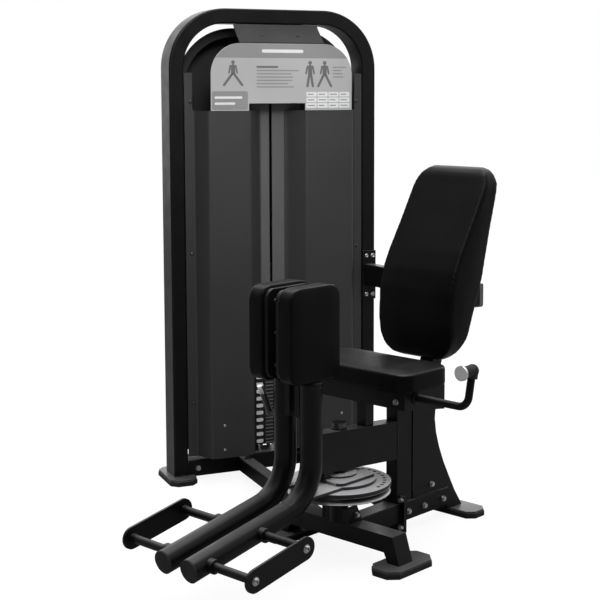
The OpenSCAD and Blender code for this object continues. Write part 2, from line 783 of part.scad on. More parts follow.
module brace_bar() color(steel) on_floor() {
  difference() {
    translate([brace_start[0], brace_start[1], brace_z]) rotate([0, 0, brace_yaw]) translate([-40, 0, 0])
      rotate([90, 0, 90]) linear_extrude(brace_len + 40) tube_section(brace_w, brace_h, 6);
    tower_place() box([-100, leg_d / 2 + 8], [0, 600], [0, 1600]);
  }
  tower_place() box([leg_d / 2, leg_d / 2 + 8], [half_span - 25, half_span + 25], [600, 775]);
  difference() {
    box([-20, 20], [-80, 100], [brace_z - 30, brace_z + 30]);
    upright_place() translate([0, 0, -20]) linear_extrude(upright_len + 40) rounded_rect(50, 50, 5);
    upright_place() box([-60, 60], [-200, 0], [-50, 600]);
    translate([brace_start[0], brace_start[1], brace_z]) rotate([0, 0, brace_yaw]) translate([-40, 0, 0])
      rotate([90, 0, 90]) linear_extrude(brace_len + 40) rounded_rect(brace_w, brace_h, 6);
    translate([brace_start[0], brace_start[1], brace_z]) rotate([0, 0, brace_yaw])
      box([-40, brace_len + 200], [0, 200], [-100, 100]);
  }
}

// Places a handle's bent part, with x outwards and y along the tilted riser
module handle_place() translate([frame_w / 2, -446, 483]) rotate([handle_tilt, 0, 0]) children();

handle_run = handle_out - frame_w / 2 - handle_bend;
elbow_y = -446 + handle_rise * cos(handle_tilt);
elbow_z = 483 + handle_rise * sin(handle_tilt);

module handle_tubes() color(steel) on_floor() both_sides() handle_place() {
  rotate([0, 90, 0]) cylinder(r = handle_r, h = handle_run);
  translate([handle_run, handle_bend, 0]) rotate([0, 0, -90])
    rotate_extrude(angle = 90) translate([handle_bend, 0]) circle(handle_r);
  along_y(handle_bend, handle_rise - 22, handle_run + handle_bend, 0, handle_r);
}

module handle_grips() color(rubber) on_floor() both_sides() {
  handle_place() along_y(handle_rise - 22, handle_rise, handle_run + handle_bend, 0, grip_r);
  translate([handle_out, elbow_y, elbow_z]) sphere(grip_r + 1.5);
  along_y(elbow_y - 46, elbow_y, handle_out, elbow_z, grip_r);
}

module grip_end_caps() color(zinc) on_floor() both_sides()
  along_y(elbow_y - 54, elbow_y - 46, handle_out, elbow_z, grip_r + 4);

module hex_bolt(p, axis_rot) translate(p) rotate(axis_rot) {
  cylinder(r = 9, h = 3);
  cylinder(r = 8, h = 9, $fn = 6);
}

module frame_bolts() color(zinc) on_floor() {
  for (y = [-267, -190, -96]) hex_bolt([base_rail_w / 2, y, 72], [0, 90, 0]);
  for (y = [-279, -190, -96]) mirror([1, 0, 0]) hex_bolt([base_rail_w / 2, y, 72], [0, 90, 0]);
  both_sides() hex_bolt([24, -150, 130], [0, 90, 0]);
  for (z = [30, 116]) both_sides() hex_bolt([31.5, junction_y - 6, z], [90, 0, 0]);
  both_sides() hex_bolt([170, frame_front, 474], [90, 0, 0]);
  tower_place() for (s = [-1, 1]) hex_bolt([45, s * 292, 51], [0, 90, 0]);
}

tower_frame();
tower_bottom_rail();
left_shroud();
right_shroud();
rear_cover();
top_bridge_plate();
placard();
slot_guards();
guide_rods();
stack_bumpers();
resting_plates();
lifted_plates();
top_plate();
selector_stem();
selector_pin();
top_pulley();
top_pulley_bracket();
bottom_pulley();
stack_cable();
rear_cable();
foot_plates();
rubber_feet();
link_beams();
cross_beam();
centre_rail();
rear_rail();
seat_post();
rear_column();
pivot_beam();
pivot_shaft();
seat_support_post();
cam_wheel();
range_disc();
retaining_washer();
left_arm_hub();
right_arm_hub();
left_arm_tube();
right_arm_tube();
left_tube_cap();
right_tube_cap();
left_foot_pegs();
right_foot_pegs();
left_peg_plate();
right_peg_plate();
left_pad_bracket();
right_pad_bracket();
left_thigh_pad();
right_thigh_pad();
start_pin();
release_lever();
seat_frame();
seat_pad();
backrest_upright();
backrest_board();
backrest_pad();
brace_bar();
handle_tubes();
handle_grips();
grip_end_caps();
frame_bolts();
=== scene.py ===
"""Looks of the seated inner thigh machine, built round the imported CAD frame."""

import json
import math

import bmesh
import bpy
import numpy as np
from mathutils import Matrix, Vector


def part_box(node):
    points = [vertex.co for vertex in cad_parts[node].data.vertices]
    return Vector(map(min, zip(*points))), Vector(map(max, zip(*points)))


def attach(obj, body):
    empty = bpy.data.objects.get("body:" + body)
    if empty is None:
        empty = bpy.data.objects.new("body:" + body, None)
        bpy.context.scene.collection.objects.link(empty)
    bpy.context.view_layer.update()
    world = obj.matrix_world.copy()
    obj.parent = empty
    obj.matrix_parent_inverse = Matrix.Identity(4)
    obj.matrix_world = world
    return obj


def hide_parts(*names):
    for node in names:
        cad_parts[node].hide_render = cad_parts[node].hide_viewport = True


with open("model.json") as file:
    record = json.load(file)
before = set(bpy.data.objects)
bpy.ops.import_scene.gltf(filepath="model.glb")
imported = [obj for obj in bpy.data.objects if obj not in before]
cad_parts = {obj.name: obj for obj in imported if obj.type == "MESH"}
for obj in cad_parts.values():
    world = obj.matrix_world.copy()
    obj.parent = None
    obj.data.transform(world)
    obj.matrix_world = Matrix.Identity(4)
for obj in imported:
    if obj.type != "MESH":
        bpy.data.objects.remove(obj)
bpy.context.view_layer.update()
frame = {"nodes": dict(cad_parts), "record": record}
NODES = frame["nodes"]

MM = 0.001
# drawings below are in millimetres, in the seat's frame or the tower's; both are lowered by 8 mm
SEAT = Matrix.Translation((0, 0, -0.008))
TOWER = SEAT @ Matrix.Translation((-0.772, -0.054, 0)) @ Matrix.Rotation(math.radians(-23.6), 4, "Z")
FRONT = Matrix(((0, 0, 1, 0), (1, 0, 0, 0), (0, 1, 0, 0), (0, 0, 0, 1)))
PIVOT = Vector((0, -0.549, 0))

# ---------------------------------------------------------------- camera

EYE, GAZE = (2.546, -3.344, 1.356), Vector((-0.668, 0.737, -0.107))
LENS_MM, SENSOR_MM = 80.4, 36
SHIFT = (-0.0705, -0.1183)


def aim(obj, direction):
    """Turns a camera or a lamp, which look along their own -Z, to face a direction."""
    obj.rotation_mode = "QUATERNION"
    obj.rotation_quaternion = direction.to_track_quat("-Z", "Y")


def add_camera():
    data = bpy.data.cameras.new("camera")
    data.lens, data.sensor_width = LENS_MM, SENSOR_MM
    data.shift_x, data.shift_y = SHIFT
    data.clip_start, data.clip_end = 0.1, 60
    cam = bpy.data.objects.new("camera", data)
    cam.location = EYE
    aim(cam, GAZE)
    bpy.context.scene.collection.objects.link(cam)
    bpy.context.scene.camera = cam


# ---------------------------------------------------------------- materials


class Graph:
    """A small helper that adds nodes and joins them."""

    def __init__(self, name):
        self.material = bpy.data.materials.new(name)
        self.material.use_nodes = True
        self.tree = self.material.node_tree
        self.tree.nodes.clear()
        self.out = self.add("ShaderNodeOutputMaterial")
        self.shader = self.add("ShaderNodeBsdfPrincipled")
        self.tree.links.new(self.shader.outputs[0], self.out.inputs[0])

    def add(self, kind, inputs=None, **attributes):
        node = self.tree.nodes.new(kind)
        for key, value in attributes.items():
            setattr(node, key, value)
        for key, value in (inputs or {}).items():
            self.put(node, key, value)
        return node

    def put(self, node, key, value):
        if isinstance(value, bpy.types.NodeSocket):
            self.tree.links.new(value, node.inputs[key])
        else:
            node.inputs[key].default_value = value

    def set(self, **values):
        for key, value in values.items():
            self.put(self.shader, key.replace("_", " "), value)

    def place(self):
        return self.add("ShaderNodeTexCoord").outputs["Object"]

    def noise(self, where, scale, detail=2.0, rough=0.5):
        inputs = {"Vector": where, "Scale": scale, "Detail": detail, "Roughness": rough}
        return self.add("ShaderNodeTexNoise", inputs).outputs[0]

    def spread(self, value, low, high, start=0.3, end=0.7):
        node = self.add("ShaderNodeMapRange", {0: value, 1: start, 2: end, 3: low, 4: high})
        return node.outputs[0]

    def maths(self, operation, a, b=0.0):
        return self.add("ShaderNodeMath", {0: a, 1: b}, operation=operation).outputs[0]

    def mix(self, factor, a, b):
        node = self.add("ShaderNodeMix", data_type="RGBA")
        for key, value in (("Factor_Float", factor), ("A_Color", a), ("B_Color", b)):
            socket = next(s for s in node.inputs if s.identifier == key)
            if isinstance(value, bpy.types.NodeSocket):
                self.tree.links.new(value, socket)
            else:
                socket.default_value = value
        return next(s for s in node.outputs if s.identifier == "Result_Color")

    def bump(self, height, distance, strength=1.0, normal=None):
        node = self.add("ShaderNodeBump", {"Height": height, "Distance": distance, "Strength": strength})
        if normal is not None:
            self.put(node, "Normal", normal)
        return node.outputs[0]

    def edges(self, radius):
        """A mask that is 1 on edges and 0 on flat faces."""
        bevel = self.add("ShaderNodeBevel", {"Radius": radius}, samples=4)
        flat = self.add("ShaderNodeNewGeometry").outputs["Normal"]
        dot = self.add("ShaderNodeVectorMath", {0: bevel.outputs[0], 1: flat}, operation="DOT_PRODUCT")
        return self.spread(dot.outputs["Value"], 1.0, 0.0, 0.88, 0.995)

    def level(self, start, end):
        """A mask that is 0 below the start height of the surface's normal and 1 above its end height."""
        normal = self.add("ShaderNodeNewGeometry").outputs["Normal"]
        height = self.add("ShaderNodeSeparateXYZ", {0: normal}).outputs["Z"]
        return self.spread(height, 0.0, 1.0, start, end)


def grey(value, tint=0.0):
    return (value, value, value * (1 + tint), 1)


def painted(name, value, rough, grain=1400, relief=0.00004, worn=0.35, tint=0.01, shine=0.5):
    """Powder coat: fine orange peel, worn edges and a painted highlight that lightens what faces up."""
    g = Graph(name)
    where = g.place()
    broad = g.noise(where, 5, 3)
    plain_coat = g.mix(g.spread(broad, 0, 1), grey(value * 0.85, tint), grey(value * 1.25, tint))
    # painted highlight: faces that look up are lightened towards grey, patchy with noise, standing in for the
    # overhead light's reflection
    painted_top_highlight = g.maths("MULTIPLY", g.level(0.7, 1.0), g.spread(g.noise(where, 7, 4), 0.65, 1))
    base = g.mix(painted_top_highlight, plain_coat, grey(max(0.12, value), tint))
    mask = g.maths("MULTIPLY", g.edges(0.0015), g.spread(g.noise(where, 38, 4), 0, worn, 0.42, 0.62))
    g.set(
        Base_Color=g.mix(mask, base, grey(min(value * 3 + 0.05, 0.7), tint)),
        Specular_IOR_Level=shine,
        Roughness=g.spread(g.noise(where, 18, 3), rough - 0.05, rough + 0.07),
        Normal=g.bump(g.noise(where, grain, 2), relief, 0.6),
    )
    return g.material


def moulded(name, value, rough, grain=2600, relief=0.00006):
    """Grained plastic sheet."""
    g = Graph(name)
    where = g.place()
    base = g.mix(g.spread(g.noise(where, 3, 2), 0, 1), grey(value * 0.92), grey(value * 1.1))
    cells = g.add("ShaderNodeTexVoronoi", {"Vector": where, "Scale": grain * 0.4}).outputs["Distance"]
    height = g.maths("ADD", cells, g.noise(where, grain, 2))
    g.set(
        Base_Color=base,
        Roughness=g.spread(g.noise(where, 9, 3), rough - 0.04, rough + 0.05),
        Normal=g.bump(height, relief, 0.5),
    )
    return g.material


def vinyl(name, value):
    """Upholstery vinyl: pebbled leather grain with a soft sheen."""
    g = Graph(name)
    where = g.place()
    pebbles = g.add("ShaderNodeTexVoronoi", {"Vector": where, "Scale": 620.0}, feature="DISTANCE_TO_EDGE")
    cells = pebbles.outputs["Distance"]
    pores = g.noise(where, 2100, 2)
    height = g.maths("ADD", g.spread(cells, 0, 1, 0.0, 0.22), g.maths("MULTIPLY", pores, 0.35))
    soft = g.noise(where, 14, 3)
    g.set(
        Base_Color=g.mix(g.spread(soft, 0, 1), grey(value * 0.85), grey(value * 1.15)),
        Roughness=g.spread(g.noise(where, 25, 3), 0.36, 0.46),
        Specular_IOR_Level=g.spread(g.level(0.72, 0.98), 0.11, 0.6, 0, 1),
        Normal=g.bump(height, 0.00007, 0.55, g.bump(g.noise(where, 9, 2), 0.0012, 0.35)),
    )
    return g.material


def rubbery(name, value, rough=0.7):
    g = Graph(name)
    where = g.place()
    dust = g.spread(g.noise(where, 30, 4), 0, 0.5, 0.5, 0.75)
    g.set(
        Base_Color=g.mix(dust, grey(value), grey(value * 2 + 0.02)),
        Roughness=g.spread(g.noise(where, 60, 3), rough - 0.08, rough + 0.08),
        Normal=g.bump(g.noise(where, 900, 3), 0.00008, 0.5),
    )
    return g.material


def metal(name, value, rough, streak=(220, 220, 8), relief=0.00002, tint=0.02):
    """Plated or brushed metal, with streaks along one axis."""
    g = Graph(name)
    where = g.place()
    lines = g.add("ShaderNodeMapping", {"Vector": where, "Scale": streak}).outputs[0]
    fine = g.noise(lines, 6, 4)
    g.set(
        Base_Color=g.mix(g.spread(g.noise(where, 12, 3), 0, 1), grey(value * 0.9, tint), grey(value, tint)),
        Metallic=1.0,
        Roughness=g.spread(fine, rough - 0.07, rough + 0.1),
        Normal=g.bump(fine, relief, 0.5),
    )
    return g.material


def turned(name, value, rough):
    """Zinc-plated disc with turning rings about the arms' axis, near black on every face that doesn't face
    up, such as its rim.
    """
    g = Graph(name)
    where = g.place()
    centred = g.add("ShaderNodeMapping", {"Vector": where, "Location": -PIVOT, "Scale": (1, 1, 0)}).outputs[0]
    rings = g.add("ShaderNodeTexWave", {"Vector": centred, "Scale": 260.0, "Distortion": 0.6, "Detail": 1.0},
                  wave_type="RINGS", rings_direction="SPHERICAL").outputs["Fac"]
    cloud = g.noise(where, 22, 4)
    face = g.mix(g.spread(cloud, 0, 1), grey(value * 0.88, 0.02), grey(value, 0.02))
    g.set(
        # faces that don't look up, such as the rim, are made near black
        Base_Color=g.mix(g.level(0.4, 0.8), grey(0.03), face),
        Metallic=0.2,
        Roughness=g.spread(cloud, rough - 0.06, rough + 0.08),
        Normal=g.bump(rings, 0.00002, 0.5),
    )
    return g.material


MATERIALS = {
    "black_frame": painted("black_frame", 0.006, 0.36, shine=0.24),
    "charcoal_panel": moulded("charcoal_panel", 0.044, 0.5),
    "dark_panel": moulded("dark_panel", 0.01, 0.62),
    "grey_guard": moulded("grey_guard", 0.13, 0.5),
    "grey_placard": moulded("grey_placard", 0.5, 0.45, 1800, 0.00003),
    "print_dark": moulded("print_dark", 0.16, 0.5),
    "print_mid": moulded("print_mid", 0.3, 0.5),
    "print_light": moulded("print_light", 0.85, 0.5),
    "polished_rod": metal("polished_rod", 0.8, 0.14, (900, 900, 30)),
    "black_plates": painted("black_plates", 0.012, 0.42, 700, 0.00008, 0.7, shine=0.3),
    "black_rubber": rubbery("black_rubber", 0.011),
    "nylon_wheel": moulded("nylon_wheel", 0.015, 0.42),
    "coated_cable": moulded("coated_cable", 0.012, 0.3),
    "grey_foot": painted("grey_foot", 0.085, 0.34, worn=0.5),
    "end_plug": moulded("end_plug", 0.22, 0.45),
    "plated_steel": metal("plated_steel", 0.66, 0.3, (60, 60, 60)),
    "dark_screw": metal("dark_screw", 0.12, 0.35, (60, 60, 60)),
    "turned_steel": turned("turned_steel", 0.95, 0.45),
    "bare_aluminium": metal("bare_aluminium", 0.88, 0.22, (300, 40, 300)),
    "black_vinyl": vinyl("black_vinyl", 0.0035),
}


def dress_frame():
    """Gives every CAD node its material, crisp shading and small edge radii."""
    slots = {s["node"]: s["material_slot"] for s in frame["record"]["subparts"]}
    for name, obj in NODES.items():
        slot = LOOK.get(name, slots[name])
        obj.data.materials.clear()
        obj.data.materials.append(MATERIALS[slot])
        for polygon in obj.data.polygons:
            polygon.use_smooth = True
        weld = obj.modifiers.new("weld", "WELD")
        weld.merge_threshold = 1e-5
        bevel = obj.modifiers.new("bevel", "BEVEL")
        bevel.width = EDGE.get(name, 1.0) * MM
        bevel.segments = 2
        bevel.limit_method = "ANGLE"
        bevel.angle_limit = math.radians(38)
        bevel.harden_normals = False
        bevel.use_clamp_overlap = True
        weighted = obj.modifiers.new("weighted", "WEIGHTED_NORMAL")
        weighted.keep_sharp = False
        weighted.weight = 90


# nodes whose finish differs from their slot's usual one
LOOK = {
    "cam_wheel": "turned_steel", "range_disc": "turned_steel", "retaining_washer": "turned_steel",
    "left_arm_hub": "turned_steel", "right_arm_hub": "turned_steel", "release_lever": "dark_screw",
    "pivot_shaft": "dark_screw", "top_bridge_plate": "dark_panel", "rear_cover": "dark_panel",
}
# radius of the rounded edges in millimetres, where it isn't 1
EDGE = {
    "tower_frame": 2.0, "placard": 1.2, "stack_cable": 0.3, "rear_cable": 0.3, "slot_guards": 0.6,
    "resting_plates": 1.5, "lifted_plates": 1.5, "top_plate": 2.5,
}

# ---------------------------------------------------------------- mesh helpers


def new_object(name, mesh, material=None, body=None):
    obj = bpy.data.objects.new(name, mesh)
    bpy.context.scene.collection.objects.link(obj)
    if material:
        mesh.materials.clear()
        mesh.materials.append(MATERIALS[material])
    for polygon in mesh.polygons:
        polygon.use_smooth = True
    if body:
        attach(obj, body)
    return obj


def bake(obj):
    """Applies the modifiers and returns the object with its final mesh."""
    graph = bpy.context.evaluated_depsgraph_get()
    mesh = bpy.data.meshes.new_from_object(obj.evaluated_get(graph))
    old = obj.data
    obj.modifiers.clear()
    obj.data = mesh
    bpy.data.meshes.remove(old)
    return obj


def discard(obj):
    mesh = obj.data
    bpy.data.objects.remove(obj)
    bpy.data.meshes.remove(mesh)


def rounded(corners, segments=8):
    """Outline through [x, y, radius] corners, with each corner replaced by an arc."""
    points = []
    count = len(corners)
    for i, (x, y, radius) in enumerate(corners):
        here = Vector((x, y))
        before = (Vector(corners[i - 1][:2]) - here).normalized()
        after = (Vector(corners[(i + 1) % count][:2]) - here).normalized()
        half = before.angle(after) / 2
        if radius <= 0 or half > 1.55:
            points.append(here)
            continue
        reach = radius / math.tan(half)
        centre = here + (before + after).normalized() * (radius / math.sin(half))
        start, end = here + before * reach - centre, here + after * reach - centre
        turn = start.angle_signed(end)
        for k in range(segments + 1):
            angle = -turn * k / segments
            points.append(centre + Matrix.Rotation(angle, 2) @ start)
    return points


def prism(name, outline, low, high, axis):
    """Closed prism of an outline. axis "x" takes (y, z) points and axis "y" takes (x, z) points."""
    bm = bmesh.new()

    def place(point, depth):
        a, b = point
        return {"x": (depth, a, b), "y": (a, depth, b), "z": (a, b, depth)}[axis]

    rings = [[bm.verts.new(place(p, depth)) for p in outline] for depth in (low, high)]
    bm.faces.new(rings[0])
    bm.faces.new(rings[1])
    count = len(outline)
    for i in range(count):
        j = (i + 1) % count
        bm.faces.new((rings[0][i], rings[0][j], rings[1][j], rings[1][i]))
    bmesh.ops.recalc_face_normals(bm, faces=bm.faces)
    mesh = bpy.data.meshes.new(name)
    bm.to_mesh(mesh)
    bm.free()
    return mesh


def common(name, first, second):
    """The part that two closed meshes share."""
    a, b = new_object(name, first), new_object(name + "_cut", second)
    cut = a.modifiers.new("cut", "BOOLEAN")
    cut.operation, cut.object, cut.solver = "INTERSECT", b, "EXACT"
    bake(a)
    discard(b)
    return a


# ---------------------------------------------------------------- upholstery


SPREAD_ROUNDS = 70
CLOTH_STEPS = 20


def spread_out(mesh, values, rounds):
    """Averages each vertex's value with its neighbours', over and over, so that no ripples are left."""
    ends = np.empty(len(mesh.edges) * 2, dtype=np.int64)
    mesh.edges.foreach_get("vertices", ends)
    a, b = ends[0::2], ends[1::2]
    share = 0.5 / np.maximum(np.bincount(ends, minlength=len(values)), 1)
    for _ in range(rounds):
        around = np.bincount(a, values[b], len(values)) + np.bincount(b, values[a], len(values))
        values = 0.5 * values + share * around
    return values


def upholster(obj, voxel, rounding, pressure, cap, keep_flat=None):
    """Turns a hard block into a stuffed pad: even mesh, soft edges, then swelled by cloth pressure.

    keep_flat is a test on a rest point that says where the pad is glued to its board."""
    remesh = obj.modifiers.new("remesh", "REMESH")
    remesh.mode, remesh.voxel_size = "VOXEL", voxel
    bake(obj)
    smooth = obj.modifiers.new("smooth", "SMOOTH")
    smooth.factor, smooth.iterations = 0.5, rounding
    bake(obj)
    rest = [v.co.copy() for v in obj.data.vertices]
    cloth = obj.modifiers.new("cloth", "CLOTH")
    settings = cloth.settings
    settings.quality = 4
    settings.mass = 0.3
    settings.tension_stiffness = settings.compression_stiffness = 18
    settings.shear_stiffness = 8
    settings.bending_stiffness = 1.5
    settings.use_pressure = True
    settings.uniform_pressure_force = pressure
    settings.effector_weights.gravity = 0
    if keep_flat:
        group = obj.vertex_groups.new(name="glued")
        group.add([i for i, p in enumerate(rest) if keep_flat(p)], 1.0, "REPLACE")
        settings.vertex_group_mass = "glued"
    for step in range(1, CLOTH_STEPS + 1):
        bpy.context.scene.frame_set(step)
    graph = bpy.context.evaluated_depsgraph_get()
    moved = [v.co.copy() for v in obj.evaluated_get(graph).data.vertices]
    bpy.context.scene.frame_set(1)
    obj.modifiers.clear()
    swell = [(end - start).dot(vertex.normal)
             for vertex, start, end in zip(obj.data.vertices, rest, moved)]
    swell = spread_out(obj.data, np.clip(np.array(swell), -0.3 * cap, cap), SPREAD_ROUNDS)
    normals = [vertex.normal.copy() for vertex in obj.data.vertices]
    for vertex, normal, height in zip(obj.data.vertices, normals, swell):
        vertex.co += normal * float(height)
    finer = obj.modifiers.new("finer", "SUBSURF")
    finer.levels = finer.render_levels = 1
    bake(obj)
    for polygon in obj.data.polygons:
        polygon.use_smooth = True
    return obj


def pad(obj, node, body, **how):
    upholster(obj, **how)
    obj.data.materials.clear()
    obj.data.materials.append(MATERIALS["black_vinyl"])
    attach(obj, body)
    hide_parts(node)
    return obj


def add_pads():
    """Seat, backrest and the two thigh pads."""
    low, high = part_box("seat_pad")
    inset = 0.004
    plan = rounded([
        (low.x + inset, low.y + inset, 0.042), (high.x - inset, low.y + inset, 0.042),
        (high.x - inset, high.y - 0.009, 0.05), (low.x + inset, high.y - 0.009, 0.05)])
    seat = new_object("seat_cushion", prism("seat_cushion", plan, low.z, high.z - inset, "z"))
    pad(seat, "seat_pad", "base", voxel=0.005, rounding=7, pressure=3.0, cap=0.006,
        keep_flat=lambda p: p.z < low.z + 0.012)

    low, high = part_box("backrest_pad")
    side = [Vector((y, z - 8)) * MM for y, z in BACK_PROFILE]
    half = (high.x - low.x) / 2 - 0.003
    front = rounded([
        (-half, low.z, 0.095), (half, low.z, 0.095), (half, high.z, 0.074), (-half, high.z, 0.074)], 12)
    back = common("backrest_cushion", prism("side", side, -half - 0.01, half + 0.01, "x"),
                  prism("front", front, low.y - 0.1, high.y + 0.1, "y"))
    pad(back, "backrest_pad", "base", voxel=0.006, rounding=9, pressure=3.0, cap=0.005)

    for side_name in ("left", "right"):
        node = side_name + "_thigh_pad"
        low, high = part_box(node)
        face = rounded([
            (low.y + inset, low.z + inset, 0.03), (high.y - inset, low.z + inset, 0.03),
            (high.y - inset, high.z - inset, 0.034), (low.y + inset, high.z - inset, 0.034)])
        thigh = new_object(side_name + "_thigh_cushion",
                           prism(node, face, low.x + 0.002, high.x - 0.002, "x"))
        pad(thigh, node, side_name + "_arm", voxel=0.004, rounding=6, pressure=3.0, cap=0.004)


# the backrest seen from its side, as (y, z)
BACK_PROFILE = (
    (-176, 530), (-199, 542), (-205, 562), (-211, 650), (-209, 742), (-190, 805), (-161, 862), (-96, 966),
    (-41, 1059), (-26, 1088), (-8, 1107), (10, 1114), (24, 1107), (30, 1091), (22, 1043), (-12, 925),
    (-49, 779), (-137, 560), (-146, 540), (-156, 530),
)

# ---------------------------------------------------------------- small parts


def facing(place, normal, base):
    """Frame at a place, in millimetres, with its z axis along the normal."""
    turn = Vector(normal).to_track_quat("Z", "Y").to_matrix().to_4x4()
    return base @ Matrix.Translation(Vector(place) * MM) @ turn


def lathe(bm, profile, matrix, steps=20):
    """Turned solid from an (r, z) profile that starts and ends on the axis."""
    rings = []
    for r, z in profile:
        if r < 1e-6:
            rings.append([bm.verts.new(matrix @ Vector((0, 0, z * MM)))])
            continue
        angles = [2 * math.pi * k / steps for k in range(steps)]
        circle = [Vector((r * math.cos(a), r * math.sin(a), z)) * MM for a in angles]
        rings.append([bm.verts.new(matrix @ point) for point in circle])
    for low, high in zip(rings, rings[1:]):
        for k in range(steps):
            face = []
            after = k + 1
            around = low[k % len(low)], low[after % len(low)], high[after % len(high)], high[k % len(high)]
            for vert in around:
                if vert not in face:
                    face.append(vert)
            if len(face) > 2:
                bm.faces.new(face)


def slab(bm, outline, matrix, low, high):
    """Flat solid from an outline in the matrix's xy plane, all in millimetres."""
    rings = [[bm.verts.new(matrix @ (Vector((p[0], p[1], z)) * MM)) for p in outline] for z in (low, high)]
    bm.faces.new(rings[0])
    bm.faces.new(rings[1])
    for i in range(len(outline)):
        j = (i + 1) % len(outline)
        bm.faces.new((rings[0][i], rings[0][j], rings[1][j], rings[1][i]))


def finish_mesh(name, bm, material, body):
    bmesh.ops.recalc_face_normals(bm, faces=bm.faces)
    mesh = bpy.data.meshes.new(name)
    bm.to_mesh(mesh)
    bm.free()
    obj = new_object(name, mesh, material, body)
    mesh.set_sharp_from_angle(angle=math.radians(32))
    return obj


def block(x0, y0, x1, y1, radius=2.0):
    return rounded([(x0, y0, radius), (x1, y0, radius), (x1, y1, radius), (x0, y1, radius)], 4)


def ellipse(x, y, a, b, steps=28):
    angles = [2 * math.pi * k / steps for k in range(steps)]
    return [(x + a * math.cos(angle), y + b * math.sin(angle)) for angle in angles]


def capsule(ax, ay, bx, by, r, steps=6):
    """Outline of a thick line with round ends."""
    turn = math.atan2(by - ay, bx - ax)
    points = []
    for x, y, start in ((bx, by, turn - math.pi / 2), (ax, ay, turn + math.pi / 2)):
        angles = [start + math.pi * k / steps for k in range(steps + 1)]
        points += [(x + r * math.cos(angle), y + r * math.sin(angle)) for angle in angles]
    return points


def dome(r):
    """Button head with a round socket."""
    return [(0, 0), (r, 0), (r, 0.22 * r), (0.93 * r, 0.4 * r), (0.75 * r, 0.55 * r), (0.5 * r, 0.62 * r),
            (0.46 * r, 0.6 * r), (0.44 * r, 0.25 * r), (0, 0.22 * r)]


def bead(bm, path, matrix, radius=2.2, pitch=2.6):
    """Weld bead: a rippled cord laid along a path."""
    points = []
    for a, b in zip(path, path[1:]):
        a, b = Vector(a), Vector(b)
        count = max(2, int((b - a).length / pitch * 2))
        points += [a.lerp(b, k / count) for k in range(count)]
    points.append(Vector(path[-1]))
    rings = []
    for i, point in enumerate(points):
        ahead = points[min(i + 1, len(points) - 1)] - points[max(i - 1, 0)]
        turn = ahead.to_track_quat("Z", "Y").to_matrix()
        r = radius * (1.12 if i % 2 else 0.88) * (0.5 if i in (0, len(points) - 1) else 1)
        angles = [math.pi * k / 4 for k in range(8)]
        circle = [point + turn @ Vector((r * math.cos(a), r * math.sin(a), 0)) for a in angles]
        rings.append([bm.verts.new(matrix @ (corner * MM)) for corner in circle])
    for low, high in zip(rings, rings[1:]):
        for k in range(8):
            bm.faces.new((low[k], low[(k + 1) % 8], high[(k + 1) % 8], high[k]))
    bm.faces.new(rings[0])
    bm.faces.new(rings[-1])


def add_screws():
    """Panel screws on the tower."""
    dark, light = bmesh.new(), bmesh.new()
    for v in (-305, 305):
        for z in (1308, 795, 280):
            lathe(dark, dome(6), facing((47, v, z), (1, 0, 0), TOWER), 16)
    for v in (-67, 67):
        lathe(dark, dome(6.5), facing((86.5, v, 1531), (0.686, 0, 0.728), TOWER), 16)
    for v in (-218, 218):
        for z in (208, 124):
            lathe(light, dome(5), facing((115.9, v, z), (1, 0, 0), TOWER), 16)
    for v in (-312, 312):
        for z in (1300, 760, 220):
            lathe(dark, dome(6), facing((-47, v, z), (-1, 0, 0), TOWER), 16)
    finish_mesh("flange_screws", dark, "dark_screw", "base")
    finish_mesh("cover_screws", light, "plated_steel", "base")


def person(bm, matrix, x, y, size, spread, depth):
    """Plain stick figure, standing with its feet spread."""
    slab(bm, ellipse(x, y + size * 0.44, size * 0.075, size * 0.075), matrix, *depth)
    slab(bm, capsule(x, y + size * 0.28, x, y + size * 0.02, size * 0.085), matrix, *depth)
    for s in (-1, 1):
        shoulder, hand = (x + s * size * 0.11, y + size * 0.3), (x + s * size * 0.17, y + size * 0.03)
        hip, foot = (x + s * size * 0.04, y - size * 0.02), (x + s * spread, y - size * 0.46)
        slab(bm, capsule(*shoulder, *hand, size * 0.035), matrix, *depth)
        slab(bm, capsule(*hip, *foot, size * 0.048), matrix, *depth)


